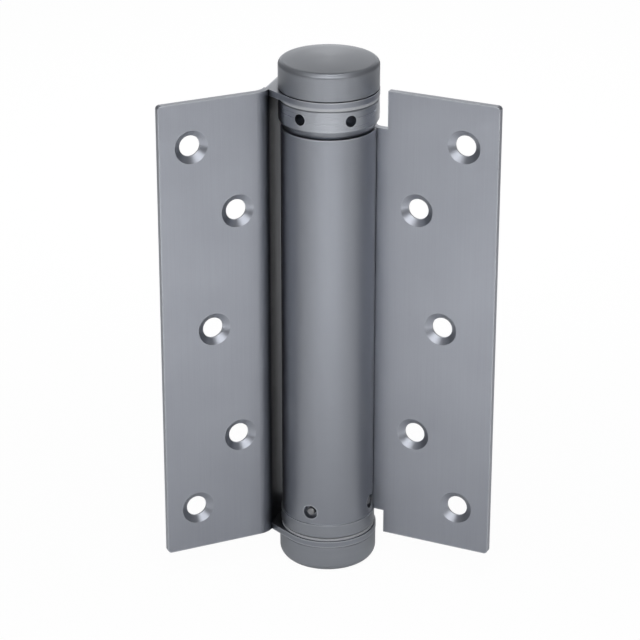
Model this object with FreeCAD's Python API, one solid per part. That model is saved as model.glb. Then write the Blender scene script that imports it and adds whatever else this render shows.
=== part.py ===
import FreeCAD, Part
import os
from math import acos, atan2, cos, hypot, pi, radians, sin, tan

os.makedirs("parts", exist_ok=True)

V = FreeCAD.Vector
Z_AXIS = V(0, 0, 1)
ORIGIN = V(0, 0, 0)

# Leaves. The hinge axis is Z; the barrel leaf lies along +X with its screw face toward -Y.
LEAF_HEIGHT = 150.0
LEAF_REACH = 54.0
SHEET = 2.0
FACE_SETBACK = 3.7
CORNER_R = 1.2
OPENING_ANGLE = 131.0

# Countersunk screw holes, by distance from the axis and from the leaf ends.
BARREL_LEAF_OUTER_X = 42.8
BARREL_LEAF_MIDDLE_X = 36.4
BARREL_LEAF_INNER_X = 27.8
LUG_LEAF_OUTER_X = 43.5
LUG_LEAF_MIDDLE_X = 36.9
LUG_LEAF_INNER_X = 28.7
OUTER_HOLE_MARGIN = 14.2
INNER_HOLE_MARGIN = 37.0
SCREW_HOLE_R = 3.3
SINK_R = 5.3
SINK_DEPTH = 1.5

# Rolled barrel of the barrel leaf and the notches above and below it.
BARREL_R = 14.7
TOP_NOTCH = 12.1
FOOT_NOTCH = 7.8
NOTCH_CLEARANCE = 2.4
SEAM_GAP = 0.4
ROLL_FILLET = 2.5

# Folded web and end lugs of the lug leaf.
WEB_CLEARANCE = 1.0
WEB_BEND = 47.0
BEND_R = 5.0
LUG_OVERHANG = 0.1
LUG_FRONT = 6.8
LUG_BACK = 12.0
LUG_EDGE_R = 1.0
LOWER_LUG_RISE = 0.2

# Clearances: running fits, seats in one body, and faces that turn on each other.
RUNNING_GAP = 0.06
SEAT_GAP = 0.04
FACE_GAP = 0.1
EDGE_BREAK = 0.4

# Spindle and the caps on its ends.
SPINDLE_R = 5.0
CAP_R = 15.45
CAP_CROWN = 2.4
CAP_BORE_CLEAR = 0.5
TOP_CAP_HEIGHT = 9.4
TOP_CAP_ROUND = 1.6
TOP_CAP_DOME = 0.6
BOTTOM_CAP_HEIGHT = 9.3
BOTTOM_CAP_ROUND = 3.2
BOTTOM_CAP_DOME = 0.2

# Tension collar with its ring of radial bar holes.
COLLAR_R = 15.45
COLLAR_RIM_GAP = 0.3
COLLAR_CONE = 2.4
COLLAR_NECK_INSET = 1.45
COLLAR_SPIGOT = 10.6
COLLAR_HOLES = 6
COLLAR_HOLE_R = 1.8
COLLAR_HOLE_DEPTH = 6.5
COLLAR_FIRST_ANGLE = 20.0

# Tension pin in one collar hole, resting behind the web.
STOP_HOLE = 2
STOP_R = 1.6
STOP_OVERRUN = 1.9

# Thrust washers under the upper lug and over the lower lug.
WASHER_THICKNESS = 0.8
WASHER_INSET = 0.15

# Fixed plug at the foot of the barrel, held by radial pins.
PLUG_OVERHANG = 0.3
PLUG_SPIGOT = 11.0
PLUG_PIN_RISE = 4.2
PLUG_PIN_COUNT = 4
PLUG_PIN_FIRST_ANGLE = 2.0
PLUG_PIN_R = 1.3
PLUG_PIN_HOLE_GAP = 1.0
PLUG_PIN_FLOOR = 1.24
PLUG_PIN_RECESS = 0.35
PLUG_PIN_DOME = 0.5

# Bushes that line the collar and plug bores.
BUSH_WALL = 1.2
BUSH_LENGTH = 9.0

# Torsion spring between the plug and the collar, with room to the barrel and to the spindle.
COIL_GAP = 1.7
COIL_SPINDLE_GAP = 2.4
COIL_PITCH = 6.5
COIL_END_GAP = 0.2
LEG_ANGLE = 47.0
LEG_LENGTH = 6.0
LEG_GAP = 0.05

HALF = LEAF_HEIGHT / 2
BORE_R = BARREL_R - SHEET
BARREL_TOP = HALF - TOP_NOTCH
BARREL_BOTTOM = -HALF + FOOT_NOTCH
LUG_R = CAP_R + LUG_OVERHANG
NOTCH_EDGE = LUG_R + NOTCH_CLEARANCE
UPPER_LUG_BOTTOM = HALF - SHEET
LOWER_LUG_BOTTOM = -HALF + LOWER_LUG_RISE
LOWER_LUG_TOP = LOWER_LUG_BOTTOM + SHEET
WEB_INNER = max(COLLAR_R, CAP_R) + WEB_CLEARANCE
WEB_OUTER = WEB_INNER + SHEET
LUG_LEAF_TURN = 180.0 - OPENING_ANGLE
TOP_CAP_END = HALF + TOP_CAP_HEIGHT
BOTTOM_CAP_END = LOWER_LUG_BOTTOM - BOTTOM_CAP_HEIGHT
COLLAR_TOP = UPPER_LUG_BOTTOM - WASHER_THICKNESS - FACE_GAP
COLLAR_NECK = BARREL_TOP + COLLAR_RIM_GAP
COLLAR_SHOULDER = COLLAR_NECK + COLLAR_CONE
COLLAR_FOOT = BARREL_TOP - COLLAR_SPIGOT
COLLAR_HOLE_Z = (COLLAR_SHOULDER + COLLAR_TOP) / 2
COLLAR_HOLE_FLOOR = COLLAR_R - COLLAR_HOLE_DEPTH
STOP_ANGLE = COLLAR_FIRST_ANGLE + STOP_HOLE * 360.0 / COLLAR_HOLES
PLUG_R = BARREL_R + PLUG_OVERHANG
PLUG_FOOT = LOWER_LUG_TOP + WASHER_THICKNESS + FACE_GAP
PLUG_TOP = BARREL_BOTTOM + PLUG_SPIGOT
PLUG_PIN_Z = BARREL_BOTTOM + PLUG_PIN_RISE
PLUG_PIN_OUTER = BARREL_R - PLUG_PIN_RECESS
BUSH_R = SPINDLE_R + RUNNING_GAP + BUSH_WALL
PLUG_PIN_INNER = BUSH_R + PLUG_PIN_FLOOR
WIRE_R = (BORE_R - COIL_GAP - SPINDLE_R - COIL_SPINDLE_GAP) / 2
COIL_R = BORE_R - COIL_GAP - WIRE_R
COIL_START = PLUG_TOP + WIRE_R + COIL_END_GAP
COIL_RISE = COLLAR_FOOT - WIRE_R - COIL_END_GAP - COIL_START
COIL_TURNS = round(COIL_RISE / COIL_PITCH)


def box(x0, x1, y0, y1, z0, z1):
    """Block between two corners."""
    return Part.makeBox(x1 - x0, y1 - y0, z1 - z0, V(x0, y0, z0))


def rod(radius, z0, z1):
    """Upright cylinder on the hinge axis."""
    return Part.makeCylinder(radius, z1 - z0, V(0, 0, z0), Z_AXIS)


def tube(outer, inner, z0, z1):
    """Upright ring on the hinge axis."""
    return rod(outer, z0, z1).cut(rod(inner, z0 - 1, z1 + 1))


def away(angle):
    """Level direction away from the hinge axis."""
    return V(cos(radians(angle)), sin(radians(angle)), 0)


def radial(radius, inner, outer, z, angle):
    """Level cylinder pointing away from the hinge axis."""
    return Part.makeCylinder(radius, outer - inner, away(angle) * inner + V(0, 0, z), away(angle))


def lathe(points):
    """Solid of revolution about the hinge axis from (radius, height) points."""
    outline = [V(r, 0, z) for r, z in points]
    face = Part.Face(Part.makePolygon(outline + [outline[0]]))
    return face.revolve(ORIGIN, Z_AXIS, 360)


def prism(points, z0, z1):
    """Upright prism over a flat outline."""
    outline = [V(x, y, z0) for x, y in points]
    face = Part.Face(Part.makePolygon(outline + [outline[0]]))
    return face.extrude(V(0, 0, z1 - z0))


def upright_edges(shape, x, y):
    """Vertical edges of a shape that stand at one point in plan."""
    near = [e for e in shape.Edges if len(e.Vertexes) == 2]
    return [e for e in near if all(hypot(v.X - x, v.Y - y) < 0.02 for v in e.Vertexes)]


def corner_edges(leaf, x):
    """Edges through the sheet at the two outer corners of a leaf."""
    found = []
    for edge in leaf.Edges:
        spots = [(v.X, v.Z) for v in edge.Vertexes]
        for end in (HALF, -HALF):
            if len(spots) == 2 and all(hypot(sx - x, sz - end) < 0.02 for sx, sz in spots):
                found.append(edge)
    return found


def rims(shape, z):
    """Round edges of a turned shape at one height."""
    return [e for e in shape.Edges if len(e.Vertexes) == 1 and abs(e.Vertexes[0].Z - z) < 0.01]


def screw_places(outer, inner, middle):
    """Zigzag of five hole places on a leaf, as (distance from axis, height)."""
    high = HALF - OUTER_HOLE_MARGIN
    low = HALF - INNER_HOLE_MARGIN
    return [(outer, high), (inner, low), (middle, 0.0), (inner, -low), (outer, -high)]


def screw_hole(x, z):
    """Countersunk hole cut from the screw face."""
    way = V(0, 1, 0)
    lead = 0.5
    through = Part.makeCylinder(SCREW_HOLE_R, SHEET + 2 * lead, V(x, FACE_SETBACK - lead, z), way)
    flare = (SINK_R - SCREW_HOLE_R) / SINK_DEPTH
    mouth = V(x, FACE_SETBACK - lead, z)
    sink = Part.makeCone(SINK_R + lead * flare, SCREW_HOLE_R, SINK_DEPTH + lead, mouth, way)
    return through.fuse(sink)


def plug_pin_angles():
    """Directions of the pins that hold the plug."""
    return [PLUG_PIN_FIRST_ANGLE + i * 360.0 / PLUG_PIN_COUNT for i in range(PLUG_PIN_COUNT)]


def collar_angles():
    """Directions of the collar's bar holes."""
    return [COLLAR_FIRST_ANGLE + i * 360.0 / COLLAR_HOLES for i in range(COLLAR_HOLES)]


def make_barrel_leaf():
    """Plate rolled into the barrel, with notches for the other leaf's ends."""
    face = FACE_SETBACK
    back = FACE_SETBACK + SHEET
    plate = box(BORE_R + SHEET / 8, LEAF_REACH, face, back, -HALF, HALF)
    plate = plate.cut(box(0, NOTCH_EDGE, face - 1, back + 1, BARREL_TOP, HALF + 1))
    plate = plate.cut(box(0, NOTCH_EDGE, face - 1, back + 1, -HALF - 1, BARREL_BOTTOM))
    plate = plate.makeFillet(CORNER_R, corner_edges(plate, LEAF_REACH))
    leaf = plate.fuse(rod(BARREL_R, BARREL_BOTTOM, BARREL_TOP)).removeSplitter()
    meet = (BARREL_R ** 2 - back ** 2) ** 0.5
    leaf = leaf.makeFillet(ROLL_FILLET, upright_edges(leaf, meet, back))
    leaf = leaf.cut(rod(BORE_R, BARREL_BOTTOM - 1, BARREL_TOP + 1))
    leaf = leaf.cut(box(0, BARREL_R, face - SEAM_GAP, face, -HALF, HALF))
    for x, z in screw_places(BARREL_LEAF_OUTER_X, BARREL_LEAF_INNER_X, BARREL_LEAF_MIDDLE_X):
        leaf = leaf.cut(screw_hole(x, z))
    for angle in plug_pin_angles():
        mouth = PLUG_PIN_R + PLUG_PIN_HOLE_GAP
        leaf = leaf.cut(radial(mouth, BORE_R - SHEET, BARREL_R + 1, PLUG_PIN_Z, angle))
    return leaf


def web_point(out, along):
    """Plan point given by its distance from the axis across the web and along it."""
    turn = radians(WEB_BEND)
    spot = V(-sin(turn), cos(turn), 0) * out + V(cos(turn), sin(turn), 0) * along
    return spot.x, spot.y


def web_meets_plate(out, depth):
    """Where a web face crosses a plate face, in plan."""
    turn = radians(WEB_BEND)
    return (depth * cos(turn) - out) / sin(turn), depth


def stop_lean():
    """Angle between the stop pin and the web's outward normal."""
    return 90.0 + WEB_BEND + LUG_LEAF_TURN - STOP_ANGLE


def web_back():
    """How far the web runs back along itself before it meets the stop pin."""
    lean = radians(stop_lean())
    return WEB_INNER * tan(lean) - (STOP_R + FACE_GAP) / cos(lean)


def stop_reach():
    """Distance from the axis to the free end of the stop pin."""
    return WEB_INNER / cos(radians(stop_lean())) + STOP_OVERRUN


def tangent_point(out, along):
    """Point where a line from the web edge touches the lug's round end."""
    swing = acos(LUG_R / hypot(out, along))
    lean = atan2(along, out)
    angle = lean + swing if along > 0 else lean - swing
    return web_point(LUG_R * cos(angle), LUG_R * sin(angle))


def make_lug(z0, z1, outer_z):
    """Flat lug with a round end, folded from one end of the web."""
    ends = [web_point(WEB_OUTER, -LUG_FRONT), web_point(WEB_OUTER, LUG_BACK)]
    outline = ends + [
        tangent_point(WEB_OUTER, LUG_BACK),
        web_point(0, 0),
        tangent_point(WEB_OUTER, -LUG_FRONT),
    ]
    lug = prism(outline, z0, z1).fuse(rod(LUG_R, z0, z1)).removeSplitter()
    fold = []
    for edge in lug.Edges:
        spots = [(v.X, v.Y, v.Z) for v in edge.Vertexes]
        level = len(spots) == 2 and all(abs(s[2] - outer_z) < 0.01 for s in spots)
        if level and all(min(hypot(s[0] - e[0], s[1] - e[1]) for e in ends) < 0.01 for s in spots):
            fold.append(edge)
    return lug.makeFillet(LUG_EDGE_R, fold)


def make_lug_leaf():
    """Plate folded into a web beside the barrel, with a lug at each end."""
    face = FACE_SETBACK
    back = FACE_SETBACK + SHEET
    inner_bend = web_meets_plate(WEB_INNER, face)
    outer_bend = web_meets_plate(WEB_OUTER, back)
    plan = [
        (-LEAF_REACH, face),
        inner_bend,
        web_point(WEB_INNER, -LUG_FRONT),
        web_point(WEB_OUTER, -LUG_FRONT),
        outer_bend,
        (-LEAF_REACH, back),
    ]
    leaf = prism(plan, -HALF, HALF)
    leaf = leaf.makeFillet(BEND_R + SHEET, upright_edges(leaf, *inner_bend))
    leaf = leaf.makeFillet(BEND_R, upright_edges(leaf, *outer_bend))
    leaf = leaf.makeFillet(CORNER_R, corner_edges(leaf, -LEAF_REACH))
    web = [
        web_point(WEB_INNER, -LUG_FRONT),
        web_point(WEB_INNER, web_back()),
        web_point(WEB_OUTER, web_back()),
        web_point(WEB_OUTER, -LUG_FRONT),
    ]
    leaf = leaf.fuse(prism(web, LOWER_LUG_TOP, UPPER_LUG_BOTTOM))
    leaf = leaf.fuse(make_lug(UPPER_LUG_BOTTOM, HALF, HALF))
    leaf = leaf.fuse(make_lug(LOWER_LUG_BOTTOM, LOWER_LUG_TOP, LOWER_LUG_BOTTOM))
    leaf = leaf.removeSplitter()
    leaf = leaf.cut(rod(SPINDLE_R + SEAT_GAP, -HALF - 1, HALF + 1))
    for x, z in screw_places(LUG_LEAF_OUTER_X, LUG_LEAF_INNER_X, LUG_LEAF_MIDDLE_X):
        leaf = leaf.cut(screw_hole(-x, z))
    leaf.rotate(ORIGIN, Z_AXIS, LUG_LEAF_TURN)
    return leaf


def leg_hole(z0, z1):
    """Socket for one upright leg of the spring."""
    return Part.makeCylinder(WIRE_R + LEG_GAP, z1 - z0, away(LEG_ANGLE) * COIL_R + V(0, 0, z0), Z_AXIS)


def bush_seat(mouth, floor):
    """Counterbore that holds a bush, from its open mouth to its floor."""
    return rod(BUSH_R + SEAT_GAP, min(mouth, floor), max(mouth, floor))


def make_collar():
    """Collar that winds the spring, with its spigot in the barrel mouth."""
    bore = SPINDLE_R + RUNNING_GAP
    spigot = BORE_R - RUNNING_GAP
    collar = lathe([
        (bore, COLLAR_FOOT),
        (spigot - EDGE_BREAK, COLLAR_FOOT),
        (spigot, COLLAR_FOOT + EDGE_BREAK),
        (spigot, COLLAR_NECK),
        (COLLAR_R - COLLAR_NECK_INSET, COLLAR_NECK),
        (COLLAR_R, COLLAR_SHOULDER),
        (COLLAR_R, COLLAR_TOP - EDGE_BREAK),
        (COLLAR_R - EDGE_BREAK, COLLAR_TOP),
        (bore, COLLAR_TOP),
    ])
    for angle in collar_angles():
        bar_hole = radial(COLLAR_HOLE_R, COLLAR_HOLE_FLOOR, COLLAR_R + 1, COLLAR_HOLE_Z, angle)
        collar = collar.cut(bar_hole)
    collar = collar.cut(bush_seat(COLLAR_FOOT, COLLAR_FOOT + BUSH_LENGTH))
    return collar.cut(leg_hole(COLLAR_FOOT, COLLAR_FOOT + LEG_LENGTH))


def make_stop_pin():
    """Pin in a bar hole that carries the spring's pull to the lug leaf."""
    pin = radial(STOP_R, COLLAR_HOLE_FLOOR, stop_reach(), COLLAR_HOLE_Z, STOP_ANGLE)
    return pin.makeChamfer(EDGE_BREAK, [e for e in pin.Edges if len(e.Vertexes) == 1])


def make_plug():
    """Fixed plug with its flange under the barrel."""
    bore = SPINDLE_R + RUNNING_GAP
    spigot = BORE_R - SEAT_GAP
    plug = lathe([
        (bore, PLUG_FOOT),
        (PLUG_R - EDGE_BREAK, PLUG_FOOT),
        (PLUG_R, PLUG_FOOT + EDGE_BREAK),
        (PLUG_R, BARREL_BOTTOM),
        (spigot, BARREL_BOTTOM),
        (spigot, PLUG_TOP - EDGE_BREAK),
        (spigot - EDGE_BREAK, PLUG_TOP),
        (bore, PLUG_TOP),
    ])
    for angle in plug_pin_angles():
        seat = radial(PLUG_PIN_R + SEAT_GAP, PLUG_PIN_INNER, BORE_R + 1, PLUG_PIN_Z, angle)
        plug = plug.cut(seat)
    plug = plug.cut(bush_seat(PLUG_TOP, PLUG_TOP - BUSH_LENGTH))
    return plug.cut(leg_hole(PLUG_TOP - LEG_LENGTH, PLUG_TOP))


def make_plug_pins():
    """Round-ended pins through the barrel wall into the plug."""
    pins = []
    for angle in plug_pin_angles():
        pin = radial(PLUG_PIN_R, PLUG_PIN_INNER, PLUG_PIN_OUTER, PLUG_PIN_Z, angle)
        tip = away(angle) * PLUG_PIN_OUTER + V(0, 0, PLUG_PIN_Z)
        end = min(pin.Edges, key=lambda e: e.CenterOfMass.distanceToPoint(tip))
        pins.append(pin.makeFillet(PLUG_PIN_DOME, [end]))
    return Part.makeCompound(pins)


def make_spring():
    """Open coil with an upright leg at each end."""
    pitch = COIL_RISE / COIL_TURNS
    path = Part.Wire(Part.makeLongHelix(pitch, COIL_RISE, COIL_R).Edges)
    lean = atan2(pitch, 2 * pi * COIL_R)
    ring = Part.makeCircle(WIRE_R, V(COIL_R, 0, 0), V(0, cos(lean), sin(lean)))
    coil = path.makePipeShell([Part.Wire(ring)], True, True)
    if coil.ShapeType != "Solid":
        coil = Part.Solid(Part.Shell(coil.Faces))
    coil.translate(V(0, 0, COIL_START))
    foot = V(COIL_R, 0, COIL_START)
    head = V(COIL_R, 0, COIL_START + COIL_RISE)
    leg = WIRE_R + LEG_LENGTH
    low = Part.makeCylinder(WIRE_R, leg, foot, Z_AXIS * -1)
    high = Part.makeCylinder(WIRE_R, leg, head, Z_AXIS)
    knees = [Part.makeSphere(WIRE_R, foot), Part.makeSphere(WIRE_R, head)]
    spring = coil.multiFuse([low, high] + knees)
    spring.rotate(ORIGIN, Z_AXIS, LEG_ANGLE)
    return spring


def make_cap(seat, end, rounding, dome):
    """Blind cap on one end of the spindle, from its seat on the lug to its slightly domed end."""
    up = 1 if end > seat else -1
    sweep = (CAP_R ** 2 + dome ** 2) / (2 * dome)
    body = rod(CAP_R, min(seat, end), max(seat, end))
    body = body.common(Part.makeSphere(sweep, V(0, 0, end - up * sweep)))
    body = body.makeFillet(rounding, rims(body, end - up * dome))
    body = body.makeChamfer(EDGE_BREAK, rims(body, seat))
    floor = end - up * CAP_CROWN
    return body.cut(rod(SPINDLE_R + SEAT_GAP, min(seat, floor), max(seat, floor)))


def make_spindle():
    """Round bar that carries the lugs, collar and plug on one axis."""
    inset = CAP_CROWN + CAP_BORE_CLEAR
    bar = rod(SPINDLE_R, BOTTOM_CAP_END + inset, TOP_CAP_END - inset)
    return bar.makeChamfer(EDGE_BREAK, [e for e in bar.Edges if len(e.Vertexes) == 1])


def make_bush(z0, z1):
    """Plain bearing bush on the spindle."""
    return tube(BUSH_R, SPINDLE_R + RUNNING_GAP, z0, z1)


def make_washer(rim, z0):
    """Thin thrust washer on the spindle, nearly as wide as the piece that it carries."""
    return tube(rim - WASHER_INSET, SPINDLE_R + SEAT_GAP, z0, z0 + WASHER_THICKNESS)


nodes = {
    "barrel_leaf": make_barrel_leaf(),
    "lug_leaf": make_lug_leaf(),
    "spindle": make_spindle(),
    "top_cap": make_cap(HALF, TOP_CAP_END, TOP_CAP_ROUND, TOP_CAP_DOME),
    "bottom_cap": make_cap(LOWER_LUG_BOTTOM, BOTTOM_CAP_END, BOTTOM_CAP_ROUND, BOTTOM_CAP_DOME),
    "upper_thrust_washer": make_washer(COLLAR_R, UPPER_LUG_BOTTOM - WASHER_THICKNESS),
    "lower_thrust_washer": make_washer(PLUG_R, LOWER_LUG_TOP),
    "tension_collar": make_collar(),
    "collar_bush": make_bush(COLLAR_FOOT, COLLAR_FOOT + BUSH_LENGTH),
    "stop_pin": make_stop_pin(),
    "bottom_plug": make_plug(),
    "plug_bush": make_bush(PLUG_TOP - BUSH_LENGTH, PLUG_TOP),
    "plug_pins": make_plug_pins(),
    "torsion_spring": make_spring(),
}

for name, shape in nodes.items():
    shape.exportStep("parts/" + name + ".step")
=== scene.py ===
"""Looks of a single action spring hinge, dressed over its packed construction model."""

import logging
import math
from dataclasses import dataclass, replace
from enum import Enum

import bpy
from mathutils import Matrix, Vector


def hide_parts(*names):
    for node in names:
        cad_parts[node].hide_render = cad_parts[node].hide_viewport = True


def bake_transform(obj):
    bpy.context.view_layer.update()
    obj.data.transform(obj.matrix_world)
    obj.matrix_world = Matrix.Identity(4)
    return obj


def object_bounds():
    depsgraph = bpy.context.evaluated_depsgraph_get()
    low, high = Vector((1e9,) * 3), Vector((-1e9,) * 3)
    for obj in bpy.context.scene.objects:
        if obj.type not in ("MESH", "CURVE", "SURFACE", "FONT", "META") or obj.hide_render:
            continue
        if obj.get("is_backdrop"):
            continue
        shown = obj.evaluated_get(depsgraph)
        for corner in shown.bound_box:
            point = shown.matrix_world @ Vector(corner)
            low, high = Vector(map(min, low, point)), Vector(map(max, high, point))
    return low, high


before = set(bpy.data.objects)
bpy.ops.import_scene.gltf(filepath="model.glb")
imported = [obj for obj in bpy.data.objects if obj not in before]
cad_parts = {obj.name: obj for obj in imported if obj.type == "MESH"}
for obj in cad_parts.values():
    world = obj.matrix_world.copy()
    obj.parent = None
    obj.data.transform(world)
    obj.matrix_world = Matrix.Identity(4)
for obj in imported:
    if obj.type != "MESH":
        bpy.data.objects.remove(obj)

LOG = logging.getLogger("spring_hinge")
MM = 0.001
PHOTO_PIXELS = 640

# Middle stretch of a noise pattern, spread over the whole range of a colour or a roughness.
NOISE_RANGE = (0.3, 0.7)
# Shares of the finishing marks and of the handling clouds in a metal's colour.
MARK_SHARE = 0.45
CLOUD_SHARE = 0.55
# Openness at which an edge gets its full painted highlight, and at which it gets none.
EDGE_HIGHLIGHT_RANGE = (0.5, 0.95)
# Openness at which a gap gets its full painted shade, and at which it gets none.
GAP_SHADE_RANGE = (0.25, 0.75)
OCCLUSION_SAMPLES = 8


class Grain(Enum):
    """Way the finishing marks run on a piece."""

    UPRIGHT = "upright"
    AROUND = "around"
    NONE = "none"


def srgb(code: str) -> tuple[float, float, float, float]:
    """Linear colour of an sRGB hex value.

    Args:
        code: Six hex digits, with or without a leading hash.

    Returns:
        Linear red, green, blue and an alpha of one.
    """
    digits = code.lstrip("#")
    parts = [int(digits[i:i + 2], 16) / 255 for i in (0, 2, 4)]
    linear = [c / 12.92 if c <= 0.04045 else ((c + 0.055) / 1.055) ** 2.4 for c in parts]
    return (linear[0], linear[1], linear[2], 1.0)


def add_node(
    tree: bpy.types.NodeTree,
    kind: str,
    settings: dict | None = None,
    values: dict | None = None,
    links: dict | None = None,
) -> bpy.types.Node:
    """Add one shader node with its settings, socket values and incoming links.

    Args:
        tree: Node tree that gets the node.
        kind: Blender's type name of the node.
        settings: Attribute values set on the node itself.
        values: Default values by input name or index.
        links: Output sockets to join, by input name or index.

    Returns:
        The new node.
    """
    node = tree.nodes.new(kind)
    for name, value in (settings or {}).items():
        setattr(node, name, value)
    for key, value in (values or {}).items():
        node.inputs[key].default_value = value
    for key, socket in (links or {}).items():
        tree.links.new(socket, node.inputs[key])
    return node


@dataclass(frozen=True)
class MetalFinish:
    """Bare metal with fine finishing marks and a faint cloud of handling.

    Attributes:
        name: What the metal is and how its surface was made.
        tone: Main colour.
        shade: Slightly darker colour that the clouds and marks lead to.
        roughness: Middle roughness of the surface.
        spread: How far the marks move the roughness each way.
        grain: Way the finishing marks run.
        mark_mm: Width of one finishing mark.
        run_mm: Length of one finishing mark.
        cloud_mm: Size of the faint clouds of handling.
        relief_mm: Depth of the marks in the bump.
        anisotropy: Stretch of the highlight across the marks.
        axis_shade_tone: Darker colour painted near the hinge axis as shade, or none.
        axis_shade_mm: Distances from the axis where the painted shade starts to fade and where it ends.
        gap_shade_tone: Dark colour painted as shade in narrow gaps between parts, or none.
        gap_shade_mm: Width of gap that gets the painted shade.
        edge_highlight_tone: Brighter colour painted along outer edges as a highlight, or none.
        edge_highlight_mm: Width of the painted edge highlight.
    """

    name: str
    tone: str
    shade: str
    roughness: float
    spread: float
    grain: Grain
    mark_mm: float
    run_mm: float
    cloud_mm: float
    relief_mm: float
    anisotropy: float = 0.0
    axis_shade_tone: str = ""
    axis_shade_mm: tuple[float, float] = (0.0, 0.0)
    gap_shade_tone: str = ""
    gap_shade_mm: float = 0.0
    edge_highlight_tone: str = ""
    edge_highlight_mm: float = 0.0

    def stretch(self) -> tuple[float, float, float]:
        """Turn the size of one finishing mark into a pattern scale.

        Returns:
            Scale of the mark pattern along X, Y and Z, per metre.
        """
        fine = 1.0 / (self.mark_mm * MM)
        long = 1.0 / (self.run_mm * MM)
        if self.grain is Grain.UPRIGHT:
            return (fine, fine, long)
        if self.grain is Grain.AROUND:
            return (long, long, fine)
        return (fine, fine, fine)

    def painted_axis_shade(self, tree: bpy.types.NodeTree, spot: bpy.types.NodeSocket,
               skin: bpy.types.NodeSocket) -> bpy.types.NodeSocket:
        """Darken the colour toward the hinge axis, as painted shade.

        Args:
            tree: Node tree of the material.
            spot: Object coordinates.
            skin: Colour of the plain sheet.

        Returns:
            Colour of the sheet with its painted shade near the axis.
        """
        level = add_node(tree, "ShaderNodeVectorMath", {"operation": "MULTIPLY"}, {1: (1.0, 1.0, 0.0)},
                         {0: spot})
        out = add_node(tree, "ShaderNodeVectorMath", {"operation": "LENGTH"},
                       links={0: level.outputs["Vector"]})
        fade = add_node(tree, "ShaderNodeMapRange", {"interpolation_type": "SMOOTHSTEP"},
                        {"From Min": self.axis_shade_mm[0] * MM, "From Max": self.axis_shade_mm[1] * MM},
                        {"Value": out.outputs["Value"]})
        mix = add_node(tree, "ShaderNodeMix", {"data_type": "RGBA"}, {6: srgb(self.axis_shade_tone)},
                       {0: fade.outputs["Result"], 7: skin})
        return mix.outputs[2]

    def painted_edge_highlight(self, tree: bpy.types.NodeTree, skin: bpy.types.NodeSocket) -> bpy.types.NodeSocket:
        """Brighten the colour along outer edges, as a painted highlight.

        Args:
            tree: Node tree of the material.
            skin: Colour of the metal away from its edges.

        Returns:
            Colour of the metal with its rubbed edges.
        """
        edge = add_node(tree, "ShaderNodeAmbientOcclusion",
                        {"samples": OCCLUSION_SAMPLES, "inside": True, "only_local": True},
                        {"Distance": self.edge_highlight_mm * MM})
        edge_light = add_node(tree, "ShaderNodeMapRange", {"interpolation_type": "SMOOTHSTEP"},
                        {"From Min": EDGE_HIGHLIGHT_RANGE[0], "From Max": EDGE_HIGHLIGHT_RANGE[1],
                         "To Min": 1.0, "To Max": 0.0},
                        {"Value": edge.outputs["AO"]})
        mix = add_node(tree, "ShaderNodeMix", {"data_type": "RGBA"}, {7: srgb(self.edge_highlight_tone)},
                       {0: edge_light.outputs["Result"], 6: skin})
        return mix.outputs[2]

    def painted_gap_shade(self, tree: bpy.types.NodeTree, skin: bpy.types.NodeSocket) -> bpy.types.NodeSocket:
        """Darken the colour where the metal faces another surface across a narrow gap, as painted shade.

        Args:
            tree: Node tree of the material.
            skin: Colour of the metal without the painted shade.

        Returns:
            Colour of the metal with its painted shade in the gaps.
        """
        gap = add_node(tree, "ShaderNodeAmbientOcclusion", {"samples": OCCLUSION_SAMPLES},
                       {"Distance": self.gap_shade_mm * MM})
        shade_amount = add_node(tree, "ShaderNodeMapRange", {"interpolation_type": "SMOOTHSTEP"},
                        {"From Min": GAP_SHADE_RANGE[0], "From Max": GAP_SHADE_RANGE[1],
                         "To Min": 1.0, "To Max": 0.0},
                        {"Value": gap.outputs["AO"]})
        mix = add_node(tree, "ShaderNodeMix", {"data_type": "RGBA"}, {7: srgb(self.gap_shade_tone)},
                       {0: shade_amount.outputs["Result"], 6: skin})
        return mix.outputs[2]

    def build(self) -> bpy.types.Material:
        """Make the node material of this finish.

        Returns:
            The finished material.
        """
        material = bpy.data.materials.new(self.name)
        material.use_nodes = True
        tree = material.node_tree
        tree.nodes.clear()
        place = add_node(tree, "ShaderNodeTexCoord")
        marks_at = add_node(tree, "ShaderNodeMapping", values={"Scale": self.stretch()},
                            links={"Vector": place.outputs["Object"]})
        marks = add_node(tree, "ShaderNodeTexNoise", values={"Scale": 1.0, "Detail": 3.0, "Roughness": 0.6},
                         links={"Vector": marks_at.outputs["Vector"]})
        clouds = add_node(tree, "ShaderNodeTexNoise",
                          values={"Scale": 1.0 / (self.cloud_mm * MM), "Detail": 2.0, "Roughness": 0.5},
                          links={"Vector": place.outputs["Object"]})
        streaks = add_node(tree, "ShaderNodeMath", {"operation": "MULTIPLY"}, {1: MARK_SHARE},
                           {0: marks.outputs["Fac"]})
        cover = add_node(tree, "ShaderNodeMath", {"operation": "MULTIPLY_ADD"}, {1: CLOUD_SHARE},
                         {0: clouds.outputs["Fac"], 2: streaks.outputs[0]})
        colour = add_node(tree, "ShaderNodeValToRGB", links={"Fac": cover.outputs[0]})
        for stop, level, code in zip(colour.color_ramp.elements, NOISE_RANGE, (self.shade, self.tone)):
            stop.position = level
            stop.color = srgb(code)
        gloss = add_node(tree, "ShaderNodeMapRange",
                         values={"From Min": NOISE_RANGE[0], "From Max": NOISE_RANGE[1],
                                 "To Min": self.roughness - self.spread,
                                 "To Max": self.roughness + self.spread},
                         links={"Value": marks.outputs["Fac"]})
        relief = add_node(tree, "ShaderNodeBump", values={"Strength": 1.0, "Distance": self.relief_mm * MM},
                          links={"Height": marks.outputs["Fac"]})
        skin = colour.outputs["Color"]
        if self.axis_shade_tone:
            skin = self.painted_axis_shade(tree, place.outputs["Object"], skin)
        if self.edge_highlight_tone:
            skin = self.painted_edge_highlight(tree, skin)
        if self.gap_shade_tone:
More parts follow.
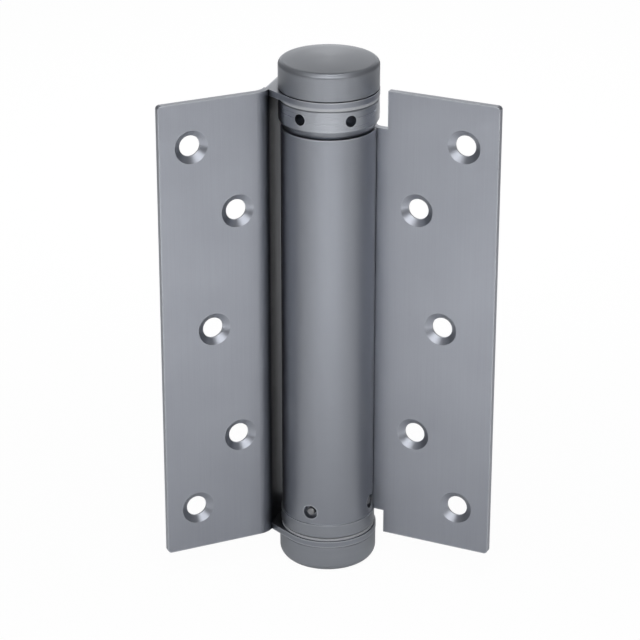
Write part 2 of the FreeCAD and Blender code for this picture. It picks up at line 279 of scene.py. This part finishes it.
            skin = self.painted_gap_shade(tree, skin)
        surface = add_node(tree, "ShaderNodeBsdfPrincipled",
                           values={"Metallic": 1.0, "Anisotropic": self.anisotropy},
                           links={"Base Color": skin, "Roughness": gloss.outputs["Result"],
                                  "Normal": relief.outputs["Normal"]})
        if self.anisotropy:
            along = add_node(tree, "ShaderNodeTangent", {"direction_type": "RADIAL", "axis": "Z"})
            tree.links.new(along.outputs["Tangent"], surface.inputs["Tangent"])
        add_node(tree, "ShaderNodeOutputMaterial", links={"Surface": surface.outputs["BSDF"]})
        return material


@dataclass(frozen=True)
class MouldedFinish:
    """Moulded plastic with a soft, finely grained skin.

    Attributes:
        name: What the plastic is and how it was made.
        tone: Main colour.
        shade: Darker colour in the grain.
        roughness: Middle roughness.
        grain_mm: Size of the skin's grain.
        relief_mm: Depth of the grain in the bump.
        relief_strength: Share of that depth that shows.
        ior: Refraction of the plastic.
    """

    name: str
    tone: str
    shade: str
    roughness: float
    grain_mm: float
    relief_mm: float = 0.02
    relief_strength: float = 0.3
    ior: float = 1.53

    def build(self) -> bpy.types.Material:
        """Make the node material of this finish.

        Returns:
            The finished material.
        """
        material = bpy.data.materials.new(self.name)
        material.use_nodes = True
        tree = material.node_tree
        tree.nodes.clear()
        place = add_node(tree, "ShaderNodeTexCoord")
        skin = add_node(tree, "ShaderNodeTexNoise",
                        values={"Scale": 1.0 / (self.grain_mm * MM), "Detail": 2.0},
                        links={"Vector": place.outputs["Object"]})
        colour = add_node(tree, "ShaderNodeValToRGB", links={"Fac": skin.outputs["Fac"]})
        colour.color_ramp.elements[0].color = srgb(self.shade)
        colour.color_ramp.elements[1].color = srgb(self.tone)
        relief = add_node(tree, "ShaderNodeBump",
                          values={"Strength": self.relief_strength, "Distance": self.relief_mm * MM},
                          links={"Height": skin.outputs["Fac"]})
        surface = add_node(tree, "ShaderNodeBsdfPrincipled",
                           values={"Roughness": self.roughness, "IOR": self.ior},
                           links={"Base Color": colour.outputs["Color"], "Normal": relief.outputs["Normal"]})
        add_node(tree, "ShaderNodeOutputMaterial", links={"Surface": surface.outputs["BSDF"]})
        return material


# Stainless sheet, ground along the leaf: an even silver grey with faint upright streaks and a soft sheen.
# The grinding lines are really a few hundredths of a millimetre wide and are drawn wider so that they show.
# The barrel is painted a little darker than the plate, as shade.
# Its outer edges get a painted highlight.
SATIN_SHEET = MetalFinish(
    name="satin_stainless_sheet", tone="#A1A4AC", shade="#989BA3", roughness=0.36, spread=0.03,
    grain=Grain.UPRIGHT, mark_mm=0.4, run_mm=30.0, cloud_mm=26.0, relief_mm=0.004, anisotropy=0.3,
    axis_shade_tone="#8E9198", axis_shade_mm=(14.9, 15.6), edge_highlight_tone="#B6B9BF", edge_highlight_mm=0.6)
# The folded leaf is the same sheet: its painted shade fades out over the plate beside the fold, and a darker
# painted shade lies on its web where it runs close beside the barrel.
FOLDED_SHEET = replace(
    SATIN_SHEET, name="satin_stainless_folded_sheet", axis_shade_mm=(16.0, 28.0), gap_shade_tone="#33353B", gap_shade_mm=7.0)
# Stainless bar, turned on a lathe: the same silver grey, with fine rings round the axis.
# Real tool marks are under a tenth of a millimetre and are drawn wider so that they show.
# Its outer edges get a faint painted highlight.
TURNED_STAINLESS = MetalFinish(
    name="turned_stainless_bar", tone="#999CA2", shade="#8F9298", roughness=0.44, spread=0.04,
    grain=Grain.AROUND, mark_mm=0.35, run_mm=40.0, cloud_mm=18.0, relief_mm=0.004, anisotropy=0.25,
    edge_highlight_tone="#A9ACB2", edge_highlight_mm=0.6)
# The collar is turned with a finer feed, so its rim is the brightest metal on the hinge.
# Its outer edges get a painted highlight.
FINE_TURNED_STAINLESS = MetalFinish(
    name="fine_turned_stainless_bar", tone="#9FA2A8", shade="#989BA1", roughness=0.29, spread=0.02,
    grain=Grain.AROUND, mark_mm=0.25, run_mm=40.0, cloud_mm=18.0, relief_mm=0.001, anisotropy=0.25,
    edge_highlight_tone="#B0B3B9", edge_highlight_mm=0.6)
# Drawn steel pins and spindle: plain, a little duller than the turned pieces.
DRAWN_PIN = MetalFinish(
    name="drawn_steel_pin", tone="#9A9A9B", shade="#7F7F81", roughness=0.36, spread=0.06,
    grain=Grain.UPRIGHT, mark_mm=0.4, run_mm=8.0, cloud_mm=3.0, relief_mm=0.004)
# Oil-tempered spring wire: dark blue grey with a satin skin.
SPRING_WIRE = MetalFinish(
    name="tempered_spring_wire", tone="#5A5B60", shade="#3E3F44", roughness=0.42, spread=0.06,
    grain=Grain.NONE, mark_mm=0.6, run_mm=0.6, cloud_mm=4.0, relief_mm=0.004)
# Sintered bronze bushes: warm, matt and finely speckled.
SINTERED_BRONZE = MetalFinish(
    name="sintered_bronze_bush", tone="#B08A52", shade="#8C6A3C", roughness=0.5, spread=0.06,
    grain=Grain.NONE, mark_mm=0.4, run_mm=0.4, cloud_mm=3.0, relief_mm=0.006)
# Moulded acetal washers: pale grey with a soft sheen, close in tone to the steel beside them.
MOULDED_ACETAL = MouldedFinish(
    name="moulded_acetal_washer", tone="#B9BBBF", shade="#AEB0B4", roughness=0.45, grain_mm=0.6)


@dataclass
class DressedGroup:
    """Pieces of one sub-assembly that share a finish.

    Attributes:
        label: Plain name of the sub-assembly.
        nodes: Names of the construction pieces in it.
        finish: Finish that they wear.
    """

    label: str
    nodes: tuple[str, ...]
    finish: MetalFinish | MouldedFinish

    def dress(self) -> None:
        """Put the finish on every piece of the group."""
        material = self.finish.build()
        for name in self.nodes:
            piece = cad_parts[name]
            if not piece.material_slots:
                piece.data.materials.append(material)
            for slot in piece.material_slots:
                slot.material = material
            LOG.info("%s: %s wears %s", self.label, name, material.name)


@dataclass
class TwistingSpring:
    """Coil spring that twists with the leaves.

    The coil is cut into a lower half and an upper half.

    Attributes:
        node: Name of the construction piece that the halves stand for.
        finish: Finish that the wire wears.
        foot_mm: Height below which the wire stays with the barrel; not used.
        middle_mm: Height where the halves meet.
        head_mm: Height above which the wire stays with the collar; not used.
        weld_mm: Distance under which corners of the wire's skin are joined before the cut.
    """

    node: str = "torsion_spring"
    finish: MetalFinish = SPRING_WIRE
    foot_mm: float = -52.0
    middle_mm: float = 0.0
    head_mm: float = 49.0
    weld_mm: float = 0.001

    def half(self, name: str, upper: bool) -> bpy.types.Object:
        """Copy one half of the coil and close it where it is cut.

        Args:
            name: Name of the new piece.
            upper: Whether the half above the cut is kept.

        Returns:
            The new piece, in place.
        """
        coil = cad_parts[self.node]
        bpy.ops.object.select_all(action="DESELECT")
        bpy.ops.mesh.primitive_cube_add()
        piece = bpy.context.object
        piece.name = name
        piece.data = coil.data.copy()
        piece.data.transform(coil.matrix_world)
        bpy.ops.object.mode_set(mode="EDIT")
        bpy.ops.mesh.select_all(action="SELECT")
        bpy.ops.mesh.remove_doubles(threshold=self.weld_mm * MM)
        bpy.ops.mesh.bisect(plane_co=(0.0, 0.0, self.middle_mm * MM), plane_no=(0.0, 0.0, 1.0),
                            use_fill=True, clear_inner=upper, clear_outer=not upper)
        bpy.ops.object.mode_set(mode="OBJECT")
        return piece

    def build(self) -> None:
        """Stand two dressed halves in the place of the coil, and hide the coil."""
        material = self.finish.build()
        lower = self.half("spring_lower_half", False)
        upper = self.half("spring_upper_half", True)
        for piece in (lower, upper):
            piece.data.materials.clear()
            piece.data.materials.append(material)
            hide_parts(self.node)
        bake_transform(lower)
        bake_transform(upper)
        LOG.info("spring: two halves wear %s", material.name)


@dataclass(frozen=True)
class SoftBox:
    """Soft box that faces the hinge.

    Attributes:
        name: Name of the lamp.
        swing_deg: Turn to the right of the camera.
        rise_deg: Height above the level.
        far_m: Distance from the hinge.
        size_m: Width and height of the box.
        watts: Power of the lamp.
    """

    name: str
    swing_deg: float
    rise_deg: float
    far_m: float
    size_m: tuple[float, float]
    watts: float


@dataclass(frozen=True)
class FloorPool:
    """Lit pool on the floor, which the hinge's upright faces mirror.

    Attributes:
        name: Name of the lamp over the pool.
        swing_deg: Turn of the pool to the right of the camera.
        far_m: Distance from the hinge to the middle of the pool.
        watts: Power of the lamp.
    """

    name: str
    swing_deg: float
    far_m: float
    watts: float


SOFT_BOXES = (
    SoftBox("overhead_soft_box", swing_deg=-8.0, rise_deg=72.0, far_m=1.6, size_m=(1.8, 1.8), watts=3.0),
    SoftBox("front_soft_box", swing_deg=0.0, rise_deg=36.0, far_m=1.6, size_m=(1.8, 0.8), watts=11.0),
    SoftBox("back_soft_box", swing_deg=180.0, rise_deg=13.0, far_m=1.6, size_m=(1.6, 0.5), watts=4.4),
)
FLOOR_POOLS = (
    FloorPool("front_floor_pool", swing_deg=0.0, far_m=0.36, watts=100.0),
    FloorPool("left_floor_pool", swing_deg=-54.0, far_m=0.5, watts=24.0),
    FloorPool("right_floor_pool", swing_deg=54.0, far_m=0.5, watts=26.0),
    FloorPool("back_floor_pool", swing_deg=180.0, far_m=0.36, watts=70.0),
)


@dataclass
class Studio:
    """Pale floor, soft lamps and the camera.

    Attributes:
        azimuth_deg: Camera's turn from the front toward +X.
        elevation_deg: Camera's height above the level.
        distance_mm: Distance from the camera to its target.
        focal_px: Focal length in pixels of the photograph's frame.
        roll_deg: Lean of the camera about its own line of sight.
        target_right_mm: Target's place to the right of the hinge axis.
        target_up_mm: Target's place above the middle of the hinge.
        floor_size_m: Side of the square floor.
        sensor_mm: Width of the camera's sensor.
        clip_m: Nearest and farthest distance that the camera sees.
        pool_height_m: Height of a pool's lamp above the floor.
        pool_cone_deg: Width of that lamp's cone.
        pool_lamp_m: Radius of that lamp, which softens its shadows.
        seen_white: Share of plain white in the paper and room to the camera.
        mirrored_white: Share of plain white in them that metal mirrors.
        room_light: Strength of the room's even light on the hinge.
    """

    azimuth_deg: float = 24.62
    elevation_deg: float = 23.87
    distance_mm: float = 830.0
    focal_px: float = 2645.5
    roll_deg: float = 0.06
    target_right_mm: float = -2.60
    target_up_mm: float = -2.06
    floor_size_m: float = 12.0
    sensor_mm: float = 36.0
    clip_m: tuple[float, float] = (0.01, 50.0)
    pool_height_m: float = 1.2
    pool_cone_deg: float = 29.0
    pool_lamp_m: float = 0.2
    seen_white: float = 0.97
    mirrored_white: float = 0.1
    room_light: float = 0.19

    def right(self) -> Vector:
        """Level direction to the right of the camera."""
        turn = math.radians(self.azimuth_deg)
        return Vector((math.cos(turn), math.sin(turn), 0.0))

    def toward_camera(self, elevation_deg: float, swing_deg: float = 0.0) -> Vector:
        """Direction from the hinge at a height above the level, swung from the camera's side.

        Args:
            elevation_deg: Height above the level.
            swing_deg: Turn to the right of the camera's azimuth.

        Returns:
            Unit vector away from the hinge.
        """
        turn = math.radians(self.azimuth_deg + swing_deg)
        rise = math.radians(elevation_deg)
        return Vector((math.sin(turn) * math.cos(rise), -math.cos(turn) * math.cos(rise), math.sin(rise)))

    def target(self) -> Vector:
        """Point that the camera looks at."""
        return self.right() * self.target_right_mm * MM + Vector((0, 0, self.target_up_mm * MM))

    def add_camera(self) -> None:
        """Stand the camera at the photograph's viewing angle."""
        bpy.ops.object.select_all(action="DESELECT")
        bpy.ops.object.camera_add()
        camera = bpy.context.object
        camera.name = "photo_camera"
        away = self.toward_camera(self.elevation_deg)
        look = (-away).to_track_quat("-Z", "Y").to_matrix()
        lean = Matrix.Rotation(math.radians(self.roll_deg), 3, "Z")
        place = self.target() + away * self.distance_mm * MM
        camera.matrix_world = Matrix.Translation(place) @ (look @ lean).to_4x4()
        camera.data.sensor_width = self.sensor_mm
        camera.data.lens = self.focal_px / PHOTO_PIXELS * self.sensor_mm
        camera.data.clip_start, camera.data.clip_end = self.clip_m
        bpy.context.scene.camera = camera

    def add_lamp(self, box: SoftBox) -> None:
        """Hang one soft box that faces the hinge.

        Args:
            box: Place, size and power of the soft box.
        """
        bpy.ops.object.select_all(action="DESELECT")
        bpy.ops.object.light_add(type="AREA")
        lamp = bpy.context.object
        lamp.name = box.name
        away = self.toward_camera(box.rise_deg, box.swing_deg)
        facing = (-away).to_track_quat("-Z", "Y").to_matrix().to_4x4()
        lamp.matrix_world = Matrix.Translation(away * box.far_m) @ facing
        lamp.data.shape = "RECTANGLE"
        lamp.data.size, lamp.data.size_y = box.size_m
        lamp.data.energy = box.watts
        lamp.visible_camera = False

    def add_pool(self, pool: FloorPool, low: float) -> None:
        """Light one soft pool on the floor beside the hinge.

        Args:
            pool: Place and power of the pool's lamp.
            low: Height of the floor in metres.
        """
        bpy.ops.object.select_all(action="DESELECT")
        bpy.ops.object.light_add(type="SPOT")
        lamp = bpy.context.object
        lamp.name = pool.name
        beside = self.toward_camera(0.0, pool.swing_deg) * pool.far_m
        lamp.location = beside + Vector((0, 0, low + self.pool_height_m))
        lamp.data.spot_size = math.radians(self.pool_cone_deg)
        lamp.data.spot_blend = 1.0
        lamp.data.shadow_soft_size = self.pool_lamp_m
        lamp.data.energy = pool.watts
        lamp.visible_camera = False

    def add_lamps(self, low: float) -> None:
        """Hang the soft boxes and the lamps over the floor.

        Args:
            low: Height of the floor in metres.
        """
        for box in SOFT_BOXES:
            self.add_lamp(box)
        for pool in FLOOR_POOLS:
            self.add_pool(pool, low)

    def add_floor(self, low: float) -> None:
        """Lay the pale floor under the hinge.

        Args:
            low: Height of the floor in metres.
        """
        bpy.ops.object.select_all(action="DESELECT")
        bpy.ops.mesh.primitive_plane_add(size=self.floor_size_m, location=(0, 0, 0))
        floor = bpy.context.object
        floor.name = "pale_floor"
        floor.data.transform(Matrix.Translation((0, 0, low)))
        floor.data.materials.append(self.paper())
        floor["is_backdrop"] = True

    def white_share(self, tree: bpy.types.NodeTree) -> bpy.types.NodeSocket:
        """How much of plain white a ray meets in the paper or the room.

        Args:
            tree: Node tree of the paper or the room.

        Returns:
            Share of white for the ray's kind.
        """
        ray = add_node(tree, "ShaderNodeLightPath")
        seen = add_node(tree, "ShaderNodeMath", {"operation": "MAXIMUM"}, links={
            0: ray.outputs["Is Camera Ray"], 1: ray.outputs["Is Transmission Ray"]})
        mirrored = add_node(tree, "ShaderNodeMath", {"operation": "MULTIPLY"}, {1: self.mirrored_white},
                            {0: ray.outputs["Is Glossy Ray"]})
        share = add_node(tree, "ShaderNodeMath", {"operation": "MULTIPLY_ADD"}, {1: self.seen_white},
                         {0: seen.outputs[0], 2: mirrored.outputs[0]})
        return share.outputs[0]

    def paper(self) -> bpy.types.Material:
        """Make white studio paper that stays near white to the camera and keeps a soft shadow.

        Returns:
            The finished material.
        """
        material = bpy.data.materials.new("white_studio_paper")
        material.use_nodes = True
        tree = material.node_tree
        tree.nodes.clear()
        lit = add_node(tree, "ShaderNodeBsdfDiffuse", values={"Color": srgb("#F4F4F4")})
        white = add_node(tree, "ShaderNodeEmission", values={"Color": srgb("#FFFFFF"), "Strength": 1.0})
        share = self.white_share(tree)
        mix = add_node(tree, "ShaderNodeMixShader",
                       links={0: share, 1: lit.outputs[0], 2: white.outputs[0]})
        add_node(tree, "ShaderNodeOutputMaterial", links={"Surface": mix.outputs[0]})
        return material

    def set_world(self) -> None:
        """Give the room an even soft light, white to the camera."""
        world = bpy.data.worlds.new("studio_room")
        bpy.context.scene.world = world
        world.use_nodes = True
        tree = world.node_tree
        tree.nodes.clear()
        share = self.white_share(tree)
        room = add_node(tree, "ShaderNodeBackground",
                        values={"Color": srgb("#F2F4F7"), "Strength": self.room_light})
        white = add_node(tree, "ShaderNodeBackground", values={"Color": srgb("#FFFFFF"), "Strength": 1.0})
        mix = add_node(tree, "ShaderNodeMixShader",
                       links={0: share, 1: room.outputs[0], 2: white.outputs[0]})
        add_node(tree, "ShaderNodeOutputWorld", links={"Surface": mix.outputs[0]})

    def build(self, low: float) -> None:
        """Set up the whole studio.

        Args:
            low: Height of the floor in metres.
        """
        self.add_floor(low)
        self.add_lamps(low)
        self.set_world()
        self.add_camera()
        bpy.context.scene.view_settings.view_transform = "Standard"


def hinge_groups() -> list[DressedGroup]:
    """List the sub-assemblies of the hinge with their finishes.

    Returns:
        One group for each finish.
    """
    return [
        DressedGroup("rolled leaf", ("barrel_leaf",), SATIN_SHEET),
        DressedGroup("folded leaf", ("lug_leaf",), FOLDED_SHEET),
        DressedGroup("turned stack", ("top_cap", "bottom_cap", "bottom_plug"), TURNED_STAINLESS),
        DressedGroup("tension collar", ("tension_collar",), FINE_TURNED_STAINLESS),
        DressedGroup("pins", ("spindle", "stop_pin", "plug_pins"), DRAWN_PIN),
        DressedGroup("bushes", ("collar_bush", "plug_bush"), SINTERED_BRONZE),
        DressedGroup("washers", ("upper_thrust_washer", "lower_thrust_washer"), MOULDED_ACETAL),
    ]


def main() -> None:
    """Dress the hinge and set up the studio on a floor at the hinge's lowest point."""
    logging.basicConfig(level=logging.INFO)
    cad_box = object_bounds()
    for group in hinge_groups():
        group.dress()
    TwistingSpring().build()
    studio = Studio()
    studio.build(cad_box[0][2])


if __name__ == "__main__":
    main()
